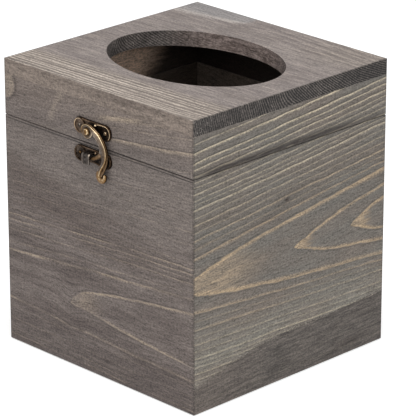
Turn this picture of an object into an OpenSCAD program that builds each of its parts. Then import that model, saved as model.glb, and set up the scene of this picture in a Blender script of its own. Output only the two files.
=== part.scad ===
// Square wooden tissue box cover with a hinged lid, an oval opening and a swing-arm hook latch.
// The front, with the latch, faces -Y. The origin is the middle of the underside.

/* [Box] */
// Width across the front
box_w = 148.84; // [136:0.01:220]
// Depth from front to back
box_d = 148.84; // [136:0.01:220]
// Height with the lid closed
box_h = 167.64; // [120:0.01:240]
// Height of the lid, from the seam to the top
lid_h = 32.5; // [28:0.5:50]
// Thickness of every board
board_t = 9; // [8:0.5:12]
// Gap along the seam between box and lid
seam_gap = 0.3; // [0.2:0.05:0.6]

/* [Opening] */
// Length of the oval opening, along the grain of the top board
opening_w = 112.5; // [70:0.5:116]
// Width of the oval opening, from front to back
opening_d = 83; // [50:0.5:110]

/* [Edges] */
// Rounding of the upright edges and of the top edges
arris_r = 0.5; // [0.2:0.1:1.2]
// Rounding of the two edges that meet at the seam
seam_arris_r = 0.4; // [0.3:0.1:0.8]
// Rounding of the edges that the box stands on
foot_arris_r = 1.4; // [0.4:0.1:2.5]

/* [Base panel] */
// Thickness of the panel that closes the bottom
base_t = 4; // [3:0.5:6]
// How far the panel laps under the walls, in their rabbet
base_lap = 4; // [2.5:0.5:6]
// Gap between the panel's edge and the rabbet
base_fit = 0.25; // [0.1:0.05:0.5]

/* [Latch plates] */
// Sideways place of the latch, from the middle of the front
latch_x = -2.2; // [-20:0.1:20]
// Length of each plate
plate_w = 29.2; // [28:0.1:34]
// Height of each plate
plate_h = 9.4; // [8.4:0.1:10]
// Thickness of each plate
plate_t = 0.9; // [0.7:0.1:1.1]
// Width of the flat margin outside the plate's raised bead
plate_margin = 0.2; // [0.1:0.05:0.5]
// Radius of the raised bead round a plate's nails
plate_bead_r = 0.5; // [0.3:0.05:0.6]
// From the middle of a plate to where the bead over its right nail starts
plate_bead_x = 2.7; // [2:0.1:5]
// Middle of the lid's plate above the seam
plate_rise = 9.2; // [6:0.1:12]
// Middle of the catch plate below the seam
plate_drop = 6.6; // [6:0.1:12]
// From the middle of a plate to each of its nails
plate_nail_x = 10.2; // [9:0.1:11]

/* [Catch nose] */
// Width of the nose that is bent out of the catch plate
nose_w = 5.9; // [4:0.1:7]
// Sideways place of the nose, from the middle of the plate
nose_x = -2.2; // [-3:0.1:-1]
// Height of the nose, from the top of its bend to its lip
nose_h = 6.3; // [5.5:0.1:7.5]
// Drop of the nose's bend from the plate's upper edge
nose_drop = 2.4; // [1.5:0.1:3]
// Space between the arm's tooth and the nose
nose_gap = 0.35; // [0.2:0.05:0.6]

/* [Latch arm] */
// Drop from the pivot to the end of the thumb curl
arm_drop = 27.1; // [26:0.1:29]
// Thickness of the arm at its edges
arm_t = 1.1; // [0.8:0.1:1.5]
// Height of the arm's crest above its edges
crest_h = 0.9; // [0.4:0.1:1.4]
// Radius of the eye round the pivot
eye_r = 4.1; // [3.6:0.1:4.5]
// Sideways place of the pivot, from the middle of the plate
pivot_x = -2.4; // [-4:0.1:0]
// Gap under the arm, over the heads of the nails
arm_lift = 0.4; // [0.3:0.05:0.8]
// Height of the tooth, across its curve
tooth_h = 2.1; // [1.4:0.1:2.6]
// Radius of the thumb curl
curl_r = 4.15; // [3.6:0.05:4.6]

/* [Rivet] */
// Radius of the rivet's shank
rivet_r = 1.05; // [0.8:0.05:1.4]
// Radius of the rivet's domed head
rivet_head_r = 2.4; // [1.9:0.05:2.6]
// Height of the rivet's domed head
rivet_head_h = 1.3; // [0.8:0.1:1.6]
// Running gap between the shank and the arm's eye
rivet_fit = 0.05; // [0.02:0.01:0.1]

/* [Hinges] */
// Length of each hinge along its pin
hinge_w = 24; // [18:0.5:34]
// Height of each leaf, from the pin
leaf_h = 11; // [8:0.5:16]
// Thickness of the leaves
leaf_t = 0.8; // [0.6:0.1:1.2]
// Radius of the hinge pins
pin_r = 0.9; // [0.7:0.05:1.2]
// Running gap between a pin and its knuckles
pin_fit = 0.05; // [0.02:0.01:0.1]
// From the side of the box to the middle of a hinge
hinge_inset = 30; // [22:0.5:50]
// Gap between neighbouring knuckles
knuckle_gap = 0.3; // [0.15:0.05:0.5]
// Gap where a knuckle's roll closes on its leaf
roll_gap = 0.15; // [0.1:0.05:0.3]

/* [Nails] */
// Radius of the nails' shanks
nail_r = 0.6; // [0.4:0.05:0.8]
// Depth of the nails in the wood
nail_depth = 6.5; // [4:0.5:7]
// Radius of the nails' domed heads
nail_head_r = 1.25; // [1:0.05:1.5]
// Height of the nails' domed heads
nail_head_h = 0.55; // [0.4:0.05:0.7]
// Gap round a nail in its hole
nail_fit = 0.05; // [0.02:0.01:0.1]

/* [Hidden] */
$fn = 64;

// How far a cutting shape runs past what it cuts
overrun = 1;

// Heights of the seam: the lid's lower face, the walls' upper face and the middle between them
lid_z = box_h - lid_h;
wall_z = lid_z - seam_gap;
seam_z = lid_z - seam_gap / 2;
rail_z = box_h - board_t;

// How far each wall is turned from the front one, seen from above
front_angle = 0;
right_angle = 90;
back_angle = 180;
left_angle = 270;

// Number of sides of the polygon that draws the oval
opening_sides = 96;

// Sizes across the latch, measured out from the face of the wood
arm_base = plate_t + nail_head_h + arm_lift;
arm_edge = arm_base + arm_t;
tooth_top = arm_edge + crest_h / 4;
nose_inside = tooth_top + nose_gap;
nose_outside = nose_inside + plate_t;
rivet_seat = arm_edge + arm_lift / 3;
rivet_tail_r = rivet_r * 1.6;
rivet_tail_h = plate_t * 0.7;
rivet_recess = rivet_tail_h + arm_lift / 2;
collar_gap = arm_lift / 4;

// The pivot, up from the middle of the seam: a little below the middle of the lid's plate
pivot_drop = plate_h * 0.15;
pivot_y = plate_rise - pivot_drop;
// The collar that the arm turns on
collar_r = 2 * rivet_r;

// From the middle of a plate's round end to the middle of its bead
bead_path_r = plate_h / 2 - plate_margin - plate_bead_r;

nose_top = plate_h / 2 - nose_drop - plate_drop;
nose_bend_r = plate_t * 1.3;
nose_corner_r = nose_w / 5;

// The tooth is a stretch of a ring about the pivot, so that it slides behind the nose
tooth_r = arm_drop * 0.557;
tooth_from = 11;
tooth_to = 46;

// The arm's crest, from the volute round the rivet down to the thumb curl. Each row holds the
// crest's place across and up from the pivot, the width outside and inside the crest and the
// crest's rise, the first four as shares of the arm's drop and the last of the crest's height
arm_shares = [
    [-0.122, -0.044, 0.013, 0.044, 0.2],
    [-0.137, 0.018, 0.013, 0.048, 0.6],
    [-0.122, 0.074, 0.013, 0.048, 0.85],
    [-0.089, 0.114, 0.013, 0.050, 1],
    [-0.037, 0.146, 0.013, 0.052, 1],
    [0.031, 0.162, 0.013, 0.059, 1],
    [0.105, 0.151, 0.013, 0.081, 1],
    [0.181, 0.120, 0.013, 0.114, 1],
    [0.256, 0.085, 0.013, 0.148, 1],
    [0.332, 0.044, 0.013, 0.155, 1],
    [0.410, -0.018, 0.013, 0.162, 1],
    [0.480, -0.100, 0.013, 0.173, 1],
    [0.531, -0.173, 0.013, 0.192, 1],
    [0.565, -0.242, 0.013, 0.210, 1],
    [0.582, -0.316, 0.015, 0.225, 1],
    [0.582, -0.392, 0.022, 0.218, 1],
    [0.565, -0.465, 0.037, 0.173, 1],
    [0.533, -0.531, 0.059, 0.118, 0.9],
    [0.489, -0.594, 0.077, 0.085, 0.85],
    [0.443, -0.657, 0.089, 0.070, 0.85],
    [0.406, -0.720, 0.089, 0.070, 0.85],
    [0.380, -0.782, 0.077, 0.074, 0.8],
    [0.367, -0.834, 0.066, 0.081, 0.7]
];
// Rings between two rows of the arm's table
arm_steps = 3;

// Middle of the thumb curl, and the notch that makes a hook of it: its place along and across its
// own direction, the radius of its round end and the width of its mouth
curl_x = arm_drop * 0.406;
curl_y = curl_r - arm_drop;
notch_angle = 50;
notch_x = curl_r * 0.25;
notch_y = -curl_r * 0.08;
notch_r = curl_r * 0.18;
notch_mouth = notch_r * 1.6;

// The hinges' axis, out from the back of the box
bore_r = pin_r + pin_fit;
barrel_r = bore_r + leaf_t;
hinge_x = box_w / 2 - hinge_inset;
knuckle_w = (hinge_w - 2 * knuckle_gap) / 3;
leaf_notch = barrel_r + knuckle_gap;
leaf_nail_x = hinge_w * 0.3;
leaf_nail_y = (leaf_h + leaf_notch) / 2;
pin_end = pin_r / 2;

// A rectangle on the X axis with its lower and upper corners rounded
module eased_rect(w, h, low_r, high_r) {
    difference() {
        translate([-w / 2, 0]) square([w, h]);
        for (side = [0, 1]) mirror([side, 0]) {
            translate([-w / 2, 0]) corner_waste(low_r);
            translate([-w / 2, h]) mirror([0, 1]) corner_waste(high_r);
        }
    }
}

// What rounding takes off a corner that points down and left
module corner_waste(r) {
    difference() {
        translate([-overrun, -overrun]) square(r + overrun);
        translate([r, r]) circle(r);
    }
}

// A block as large as the box, between two heights, with all its edges eased
module eased_block(low_z, high_z, low_r, high_r) {
    h = high_z - low_z;
    translate([0, 0, low_z]) intersection() {
        translate([0, -box_d / 2, 0]) linear_extrude(h) eased_rect(box_w, box_d, arris_r, arris_r);
        rotate([90, 0, 0]) translate([0, 0, -box_d / 2])
            linear_extrude(box_d) eased_rect(box_w, h, low_r, high_r);
        rotate([90, 0, 90]) translate([0, 0, -box_w / 2])
            linear_extrude(box_w) eased_rect(box_d, h, low_r, high_r);
    }
}

module walls_block() {
    eased_block(0, wall_z, foot_arris_r, seam_arris_r);
}

module lid_block() {
    eased_block(lid_z, box_h, seam_arris_r, arris_r);
}

// The space of one board of a mitred frame
module mitred_board(wall_angle, low_z, high_z) {
    along = wall_angle % 180 == 0 ? box_w : box_d;
    reach = (wall_angle % 180 == 0 ? box_d : box_w) / 2;
    rotate([0, 0, wall_angle]) translate([0, 0, low_z]) linear_extrude(high_z - low_z) polygon([
        [-along / 2, -reach],
        [along / 2, -reach],
        [along / 2 - board_t, -reach + board_t],
        [-along / 2 + board_t, -reach + board_t]
    ]);
}

// A rectangular panel in the rabbet under the walls, smaller than the rabbet by a gap all round
module rabbet_panel(gap, low_z, high_z) {
    w = box_w - 2 * (board_t - base_lap + gap);
    d = box_d - 2 * (board_t - base_lap + gap);
    translate([-w / 2, -d / 2, low_z]) cube([w, d, high_z - low_z]);
}

module wall_board(wall_angle) {
    difference() {
        intersection() {
            walls_block();
            mitred_board(wall_angle, 0, wall_z);
        }
        rabbet_panel(0, -overrun, base_t);
    }
}

module rail_board(wall_angle) {
    intersection() {
        lid_block();
        mitred_board(wall_angle, lid_z, rail_z);
    }
}

// The latch is drawn flat: X along the seam, Y up from it, Z out from the face of the wood
module on_front() {
    translate([latch_x, -box_d / 2, seam_z]) rotate([90, 0, 0]) children();
}

// The hinges are drawn the same way on the back
module on_back(sides) {
    for (side = sides) translate([side * hinge_x, box_d / 2, seam_z]) rotate([90, 0, 180]) children();
}

// A low dome on Z = 0
module dome(r, h) {
    ball_r = (r * r + h * h) / (2 * h);
    intersection() {
        translate([0, 0, h - ball_r]) sphere(ball_r);
        cylinder(r = ball_r + overrun, h = h + overrun);
    }
}

// A nail through sheet of a given thickness, and the hole that it sits in
module nail(sheet_t) {
    translate([0, 0, -nail_depth]) cylinder(r = nail_r, h = nail_depth + sheet_t + nail_head_h / 4);
    translate([0, 0, sheet_t]) dome(nail_head_r, nail_head_h);
}

module nail_hole() {
    translate([0, 0, -nail_depth - nail_fit]) cylinder(r = nail_r + nail_fit, h = nail_depth + 2 * overrun);
}

module at_plate_nails(y) {
    for (side = [-1, 1]) translate([side * plate_nail_x, y, 0]) children();
}

module at_leaf_nails(rise) {
    for (side = [-1, 1]) translate([side * leaf_nail_x, rise * leaf_nail_y, 0]) children();
}

module front_panel() {
    color("#7d716b") difference() {
        wall_board(front_angle);
        on_front() at_plate_nails(-plate_drop) nail_hole();
    }
}

module back_panel() {
    color("#7a736c") difference() {
        wall_board(back_angle);
        on_back([-1, 1]) at_leaf_nails(-1) nail_hole();
    }
}

module left_panel() {
    color("#7a736c") wall_board(left_angle);
}

module right_panel() {
    color("#7f7c73") wall_board(right_angle);
}

module base_panel() {
    color("#6f675f") rabbet_panel(base_fit, 0, base_t);
}

module top_board() {
    oval = [for (i = [0 : opening_sides - 1]) [
        opening_w / 2 * cos(360 * i / opening_sides),
        opening_d / 2 * sin(360 * i / opening_sides)
    ]];
    color("#8b8079") difference() {
        intersection() {
            lid_block();
            translate([-box_w / 2, -box_d / 2, rail_z]) cube([box_w, box_d, board_t]);
        }
        translate([0, 0, rail_z - overrun]) linear_extrude(board_t + 2 * overrun) polygon(oval);
    }
}

module lid_front_rail() {
    color("#7d716b") difference() {
        rail_board(front_angle);
        on_front() at_plate_nails(plate_rise) nail_hole();
        on_front() translate([pivot_x, pivot_y, -rivet_recess])
            cylinder(r = rivet_tail_r + rivet_fit, h = rivet_recess + overrun);
    }
}

module lid_back_rail() {
    color("#7a736c") difference() {
        rail_board(back_angle);
        on_back([-1, 1]) at_leaf_nails(1) nail_hole();
    }
}

module lid_left_rail() {
    color("#7a736c") rail_board(left_angle);
}

module lid_right_rail() {
    color("#7f7c73") rail_board(right_angle);
}

// A plate with round ends, with its middle at a given height. A ring of raised bead lies round its
// left nail, and a hook of it, with round ends, over its right one
module beaded_plate(y) {
    end_r = plate_h / 2;
    run = plate_w / 2 - end_r;
    translate([0, y, 0]) difference() {
        union() {
            translate([-run, -end_r, 0]) cube([2 * run, plate_h, plate_t]);
            for (side = [-1, 1]) translate([side * run, 0, 0]) cylinder(r = end_r, h = plate_t);
            translate([-run, 0, plate_t]) bead_ring();
            translate([run, 0, plate_t]) right_half() bead_ring();
            translate([run, -bead_path_r, plate_t]) sphere(plate_bead_r);
            translate([plate_bead_x, bead_path_r, plate_t]) {
                sphere(plate_bead_r);
                rotate([0, 90, 0]) cylinder(r = plate_bead_r, h = run - plate_bead_x);
            }
        }
        translate([0, 0, -plate_bead_r - overrun]) translate([-plate_w, -plate_h, 0])
            cube([2 * plate_w, 2 * plate_h, plate_bead_r + overrun]);
        at_plate_nails(0) nail_hole();
    }
}

module bead_ring() {
    rotate_extrude() translate([bead_path_r, 0]) circle(plate_bead_r);
}

module right_half() {
    intersection() {
        children();
        translate([0, -plate_h, -plate_h]) cube(2 * plate_h);
    }
}

module lid_plate() {
    color("#6d5538") on_front() difference() {
        beaded_plate(plate_rise);
        translate([pivot_x, pivot_y, -overrun]) cylinder(r = rivet_r + rivet_fit, h = plate_t + 2 * overrun);
    }
}

module lid_plate_nails() {
    color("#8c6f45") on_front() at_plate_nails(plate_rise) nail(plate_t);
}

// The catch plate's nose: a tongue bent out and down, open at both sides and below
module nose() {
    bend_inner_r = nose_bend_r - plate_t;
    intersection() {
        translate([nose_x - nose_w / 2, 0, 0]) rotate([90, 0, 90]) linear_extrude(nose_w) difference() {
            union() {
                translate([nose_top - plate_t, 0]) square([plate_t, nose_outside - nose_bend_r]);
                translate([nose_top - nose_h, nose_inside]) square([nose_h - nose_bend_r, plate_t]);
                translate([nose_top - nose_bend_r, nose_outside - nose_bend_r]) intersection() {
                    circle(nose_bend_r);
                    square(nose_bend_r);
                }
            }
            translate([nose_top - nose_bend_r, nose_outside - nose_bend_r]) circle(bend_inner_r);
        }
        translate([nose_x, nose_top, -overrun]) linear_extrude(nose_outside + 2 * overrun)
            translate([0, -nose_h]) eased_rect(nose_w, nose_h + overrun, nose_corner_r, nose_corner_r / 2);
    }
}

module catch_plate() {
    color("#6d5538") on_front() {
        beaded_plate(-plate_drop);
        nose();
    }
}

module catch_plate_nails() {
    color("#8c6f45") on_front() at_plate_nails(-plate_drop) nail(plate_t);
}

// A point between the second and the third of four rows, on a smooth curve through them
function between(a, b, c, d, t) =
    0.5 * (2 * b + (c - a) * t + (2 * a - 5 * b + 4 * c - d) * t * t + (3 * b - a - 3 * c + d) * t * t * t);

function row(rows, i) = rows[max(0, min(len(rows) - 1, i))];

function smooth_rows(rows, steps) = [
    for (i = [0 : len(rows) - 2]) for (k = [0 : steps - 1])
        between(row(rows, i - 1), rows[i], rows[i + 1], row(rows, i + 2), k / steps),
    rows[len(rows) - 1]
];

function unit(v) = v / norm(v);

// One ring of the arm: a section across the crest, from the inner edge's underside round
function arm_ring(here, along) =
    let (
        out = [-along[1], along[0]],
        middle = [here[0], here[1]] * arm_drop,
        outside = here[2] * arm_drop,
        inside = here[3] * arm_drop,
        rise = here[4] * crest_h,
        section = [
            [-inside, arm_base],
            [outside, arm_base],
            [outside, arm_edge],
            [outside * 0.55, arm_edge + rise * 0.62],
            [0, arm_edge + rise],
            [-inside * 0.3, arm_edge + rise * 0.55],
            [-inside * 0.65, arm_edge + rise * 0.18],
            [-inside, arm_edge]
        ]
    )
    [for (p = section) [middle[0] + out[0] * p[0], middle[1] + out[1] * p[0], p[1]]];

// The crested bow of the arm, swept along its crest from the volute to the curl
module arm_bow() {
    rows = smooth_rows(arm_shares, arm_steps);
    count = len(rows);
    rings = [
        for (i = [0 : count - 1])
            let (step = row(rows, i + 1) - row(rows, i - 1))
            arm_ring(rows[i], unit([step[0], step[1]]))
    ];
    sides = len(rings[0]);
    points = [for (ring = rings) for (p = ring) p];
    faces = [
        for (i = [0 : count - 2]) for (k = [0 : sides - 1])
            let (
                next = (k + 1) % sides,
                a = i * sides + k,
                b = i * sides + next,
                c = (i + 1) * sides + next,
                d = (i + 1) * sides + k
            )
            each [[a, c, b], [a, d, c]],
        for (k = [1 : sides - 2]) [0, k, k + 1],
        for (k = [1 : sides - 2]) let (end = (count - 1) * sides) [end, end + k + 1, end + k]
    ];
    polyhedron(points, faces);
}

// The tooth that slides behind the nose, curved about the pivot, with a round tip
module arm_tooth() {
    translate([0, 0, arm_base]) {
        intersection() {
            difference() {
                cylinder(r = tooth_r + tooth_h / 2, h = tooth_top - arm_base);
                translate([0, 0, -overrun]) cylinder(r = tooth_r - tooth_h / 2, h = tooth_top + overrun);
            }
            linear_extrude(tooth_top) polygon([
                [0, 0],
                2 * tooth_r * [sin(tooth_from), -cos(tooth_from)],
                2 * tooth_r * [sin(tooth_to), -cos(tooth_to)]
            ]);
        }
        translate(tooth_r * [sin(tooth_from), -cos(tooth_from), 0])
            cylinder(r = tooth_h / 2, h = tooth_top - arm_base);
    }
}

// The domed thumb curl, a turned profile cut open at its upper right so that it ends in a hook
module arm_curl() {
    ball_r = (curl_r * curl_r + crest_h * crest_h) / (2 * crest_h);
    translate([curl_x, curl_y, 0]) rotate([0, 0, notch_angle]) difference() {
        rotate([0, 0, 180]) rotate_extrude() intersection() {
            translate([0, arm_base]) square([curl_r, arm_t + 2 * crest_h]);
            translate([0, arm_edge + crest_h - ball_r]) circle(ball_r);
        }
        translate([notch_x, notch_y, arm_base - overrun]) linear_extrude(arm_t + crest_h + 2 * overrun) {
            circle(notch_r);
            translate([0, -notch_mouth / 2]) square([curl_r, notch_mouth]);
        }
    }
}

module latch_arm() {
    color("#7c613c") on_front() translate([pivot_x, pivot_y, 0]) difference() {
        union() {
            arm_bow();
            arm_tooth();
            arm_curl();
            translate([0, 0, arm_base]) cylinder(r = eye_r, h = arm_t);
            translate([0, 0, plate_t + collar_gap]) cylinder(r = collar_r, h = arm_edge - plate_t - collar_gap);
        }
        cylinder(r = rivet_r + rivet_fit, h = arm_edge + crest_h + overrun);
    }
}

module latch_rivet() {
    color("#b39a5f") on_front() translate([pivot_x, pivot_y, 0]) {
        translate([0, 0, -rivet_tail_h]) cylinder(r = rivet_tail_r, h = rivet_tail_h);
        translate([0, 0, -rivet_tail_h / 2]) cylinder(r = rivet_r, h = rivet_seat + rivet_tail_h);
        translate([0, 0, rivet_seat]) dome(rivet_head_r, rivet_head_h);
    }
}

// Which of a hinge's three knuckles a leaf carries: the middle one, or the two at the ends
function knuckles(rise) = rise < 0 ? [0] : [-1, 1];

// One leaf, below the pin for a rise of -1 and above it for 1
module hinge_leaf(rise) {
    mirror([0, rise < 0 ? 0 : 1, 0]) difference() {
        union() {
            translate([-hinge_w / 2, -leaf_h, 0]) cube([hinge_w, leaf_h - leaf_notch, leaf_t]);
            for (place = knuckles(rise)) translate([place * (knuckle_w + knuckle_gap) - knuckle_w / 2, 0, 0]) {
                translate([0, -leaf_notch, 0]) cube([knuckle_w, leaf_notch, leaf_t]);
                translate([0, 0, barrel_r]) rotate([0, 90, 0]) cylinder(r = barrel_r, h = knuckle_w);
            }
        }
        translate([-hinge_w, 0, barrel_r]) rotate([0, 90, 0]) cylinder(r = bore_r, h = 2 * hinge_w);
        translate([-hinge_w, -leaf_notch, leaf_t]) cube([2 * hinge_w, leaf_notch - bore_r / 2, roll_gap]);
        at_leaf_nails(-1) nail_hole();
    }
}

module hinge_pin() {
    translate([-hinge_w / 2, 0, barrel_r]) rotate([0, 90, 0]) cylinder(r = pin_r, h = hinge_w);
    for (side = [-1, 1]) translate([side * hinge_w / 2, 0, barrel_r]) rotate([0, side * 90, 0])
        dome(pin_r, pin_end);
}

module hinge_left_box_leaf() {
    color("#6d5538") on_back([-1]) hinge_leaf(-1);
}

module hinge_left_lid_leaf() {
    color("#6d5538") on_back([-1]) hinge_leaf(1);
}

module hinge_left_pin() {
    color("#8c6f45") on_back([-1]) hinge_pin();
}

module hinge_right_box_leaf() {
    color("#6d5538") on_back([1]) hinge_leaf(-1);
}

module hinge_right_lid_leaf() {
    color("#6d5538") on_back([1]) hinge_leaf(1);
}

module hinge_right_pin() {
    color("#8c6f45") on_back([1]) hinge_pin();
}

module hinge_box_nails() {
    color("#8c6f45") on_back([-1, 1]) at_leaf_nails(-1) nail(leaf_t);
}

module hinge_lid_nails() {
    color("#8c6f45") on_back([-1, 1]) at_leaf_nails(1) nail(leaf_t);
}

front_panel();
back_panel();
left_panel();
right_panel();
base_panel();
top_board();
lid_front_rail();
lid_back_rail();
lid_left_rail();
lid_right_rail();
lid_plate();
lid_plate_nails();
latch_arm();
latch_rivet();
catch_plate();
catch_plate_nails();
hinge_left_box_leaf();
hinge_left_lid_leaf();
hinge_left_pin();
hinge_right_box_leaf();
hinge_right_lid_leaf();
hinge_right_pin();
hinge_box_nails();
hinge_lid_nails();
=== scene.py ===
"""Looks of a square tissue box cover in grey-stained pine with an aged bronze swing-arm latch.

Lengths in patterns and in the shapes' formulas are millimetres, and meshes are in metres. The
front, with the latch, faces -Y, and +X is the right side.
"""
import math

import bpy
import numpy as np
from mathutils import Euler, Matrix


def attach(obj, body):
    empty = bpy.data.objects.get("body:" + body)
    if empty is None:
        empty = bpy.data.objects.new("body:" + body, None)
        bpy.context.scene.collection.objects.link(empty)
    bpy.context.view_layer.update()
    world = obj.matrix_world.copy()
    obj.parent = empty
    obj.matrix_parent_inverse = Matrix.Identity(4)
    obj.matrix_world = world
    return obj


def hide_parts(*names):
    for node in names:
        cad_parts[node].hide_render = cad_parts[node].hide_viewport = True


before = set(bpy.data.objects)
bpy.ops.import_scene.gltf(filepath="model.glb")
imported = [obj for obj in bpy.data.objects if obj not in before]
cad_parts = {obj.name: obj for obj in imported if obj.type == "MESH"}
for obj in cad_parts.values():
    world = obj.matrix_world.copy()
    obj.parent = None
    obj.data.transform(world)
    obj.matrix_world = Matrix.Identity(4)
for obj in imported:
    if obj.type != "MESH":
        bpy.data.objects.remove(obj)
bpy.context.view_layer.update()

WIDTH, HEIGHT = 148.84, 167.64
HALF = WIDTH / 2
SEAM, BOARD = 134.99, 9.0  # the seam's height and the boards' thickness
PER_METRE = 1000.0
RINGS_A_RAMP = 6  # a ring takes 5 stops of a ramp, which holds 32


# Materials

def paint(red, green, blue):
    """A colour given as it is seen, 0 to 255 a channel, as linear RGBA by the sRGB curve."""
    seen = np.array([red, green, blue]) / 255
    linear = np.where(seen <= 0.04045, seen / 12.92, ((seen + 0.055) / 1.055) ** 2.4)
    return (*linear.tolist(), 1)


class Wire:
    """An output socket of a material's node. Arithmetic on it adds Math nodes."""

    def __init__(self, finish, socket):
        self.finish, self.socket = finish, socket

    def also(self, output):
        """Another output of the same node."""
        return Wire(self.finish, self.socket.node.outputs[output])

    def __add__(self, other):
        return self.finish.maths("ADD", self, other)

    def __sub__(self, other):
        return self.finish.maths("SUBTRACT", self, other)

    def __rsub__(self, other):
        return self.finish.maths("SUBTRACT", other, self)

    def __mul__(self, other):
        return self.finish.maths("MULTIPLY", self, other)

    def __truediv__(self, other):
        return self.finish.maths("DIVIDE", self, other)

    def __neg__(self):
        return self * -1

    def __abs__(self):
        return self.finish.maths("ABSOLUTE", self)

    __radd__, __rmul__ = __add__, __mul__


class Finish:
    """A node tree of a material or of the world, and the methods that fill it."""

    def __init__(self, holder):
        holder.use_nodes = True
        self.holder, self.tree = holder, holder.node_tree
        self.tree.nodes.clear()

    def node(self, kind, settings=None, sockets=None, output=0):
        """Adds a node of a type: settings first, with a ramp's stops or a curve's points, then the
        values or links of its sockets."""
        made = self.tree.nodes.new(kind)
        for key, value in (settings or {}).items():
            if key == "stops":
                stops = made.color_ramp.elements
                stops.remove(stops[1])
                for i, (position, level) in enumerate(value):
                    stop = stops[0] if i == 0 else stops.new(position)
                    stop.position, stop.color = position, (level, level, level, 1)
            elif key == "points":
                points = made.mapping.curves[0].points
                points[0].location, points[1].location = value[0], value[1]
                for point in value[2:]:
                    points.new(*point)
                made.mapping.update()
            else:
                setattr(made, key, value)
        for key, value in (sockets or {}).items():
            if isinstance(value, Wire):
                self.tree.links.new(value.socket, made.inputs[key])
            else:
                made.inputs[key].default_value = value
        return Wire(self, made.outputs[output] if len(made.outputs) else None)

    def maths(self, operation, *values):
        return self.node("ShaderNodeMath", {"operation": operation}, dict(enumerate(values)))

    def most(self, first, second):
        return self.maths("MAXIMUM", first, second)

    def root(self, value):
        """The square root, and 0 for a negative value."""
        return self.maths("SQRT", self.most(value, 0))

    def vector(self, x, y, z):
        return self.node("ShaderNodeCombineXYZ", None, {"X": x, "Y": y, "Z": z})

    def noise(self, where, detail=2, roughness=0.5, scale=1):
        """Noise about 0, mostly between -1 and 1. It has scale waves in each unit of where, so that
        a factor on a place in millimetres is the waves a millimetre."""
        made = self.node("ShaderNodeTexNoise", {"noise_dimensions": "3D"}, {
            "Vector": where, "Scale": scale, "Detail": detail, "Roughness": roughness})
        reach = 1.2
        return made * (2 * reach) - reach

    def span(self, value, low, high, bottom=0, top=1, shape="LINEAR"):
        """Goes from bottom to top as the value goes from low to high, and stays there beyond."""
        if low > high:
            low, high, bottom, top = high, low, top, bottom
        return self.node("ShaderNodeMapRange", {"interpolation_type": shape}, {
            "Value": value, "From Min": low, "From Max": high, "To Min": bottom, "To Max": top})

    def rise(self, value, low, high, bottom=0, top=1):
        """The same with a smooth start and end."""
        return self.span(value, low, high, bottom, top, "SMOOTHSTEP")

    def bell(self, value, middle, width):
        """1 at the middle, falling off as a bell curve of that width."""
        off = (value - middle) / width
        return self.maths("EXPONENT", -(off * off))

    def blend(self, share, below, above, mode="MIX"):
        """Two colours mixed by a share."""
        kind = {"data_type": "RGBA", "blend_type": mode, "clamp_factor": True}
        return self.node("ShaderNodeMix", kind, {0: share, 6: below, 7: above}, output=2)

    def graded(self, value, low, high, below, above):
        """One colour where the value is low and another where it is high, both as they are seen."""
        return self.blend(self.rise(value, low, high), paint(*below), paint(*above))

    def between(self, share, below, above):
        """Two values mixed by a share."""
        return below * (1 - share) + above * share

    def washed(self, colour, *washes):
        """A colour under washes of paint, each a pair of its share and its colour as it is seen."""
        for share, seen in washes:
            colour = self.blend(share, colour, paint(*seen))
        return colour

    def shaded(self, colour, level):
        """A colour times a value."""
        return self.blend(1, colour, self.vector(level, level, level), "MULTIPLY")

    def curve(self, value, bottom, top, points):
        """A smooth curve through points (value, height), whose heights lie from bottom to top."""
        low, high = points[0][0], points[-1][0]
        table = [((a - low) / (high - low), (b - bottom) / (top - bottom)) for a, b in points]
        share = self.span(value, low, high)
        height = self.node("ShaderNodeFloatCurve", {"points": table}, {"Value": share})
        return height * (top - bottom) + bottom

    def end(self, shader, kind="ShaderNodeOutputMaterial"):
        """Sends a shader to the output, and returns the finished material or world."""
        self.node(kind, None, {"Surface": shader})
        return self.holder

    def close(self, colour, roughness, height, strength, distance, **constants):
        """Ends a material in one Principled shader, with a bump from a height."""
        bump = self.node("ShaderNodeBump", None, {
            "Height": height, "Strength": strength, "Distance": distance})
        constants = {key.replace("_", " "): value for key, value in constants.items()}
        return self.end(self.node("ShaderNodeBsdfPrincipled", None, {
            "Base Color": colour, "Roughness": roughness, "Normal": bump, **constants}))


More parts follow.
